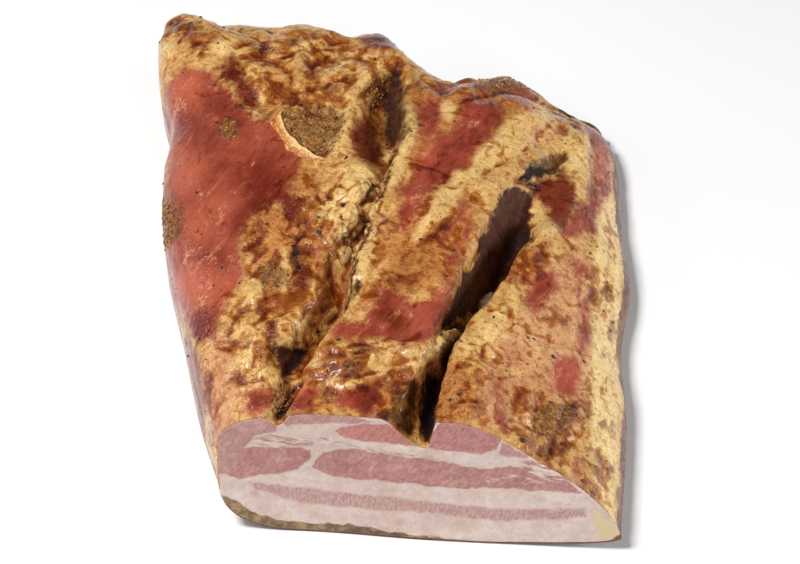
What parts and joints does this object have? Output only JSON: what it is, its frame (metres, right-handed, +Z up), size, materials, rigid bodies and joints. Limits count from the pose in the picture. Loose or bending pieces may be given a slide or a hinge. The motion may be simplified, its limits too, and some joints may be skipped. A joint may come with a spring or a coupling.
{
  "type": "smoked pork brisket",
  "caption": "Slab of smoked pork belly lying on its rind, cut straight across at one end, with long deep creases in its browned crust.",
  "frame": {"origin": "middle of the slab's footprint, on the surface it lies on", "axes": "+Z up, -Y towards the cut face, +X towards the thin edge, to the right as the cut is faced"},
  "size_m": [0.229, 0.313, 0.0734],
  "materials": {
    "smoked_pork": "smoked crust of tan fat and red-brown lean, slightly greasy, with a pale pink and cream cut face"
  },
  "bodies": {
    "root": {"brisket": "smoked_pork"}
  },
  "joints": []
}
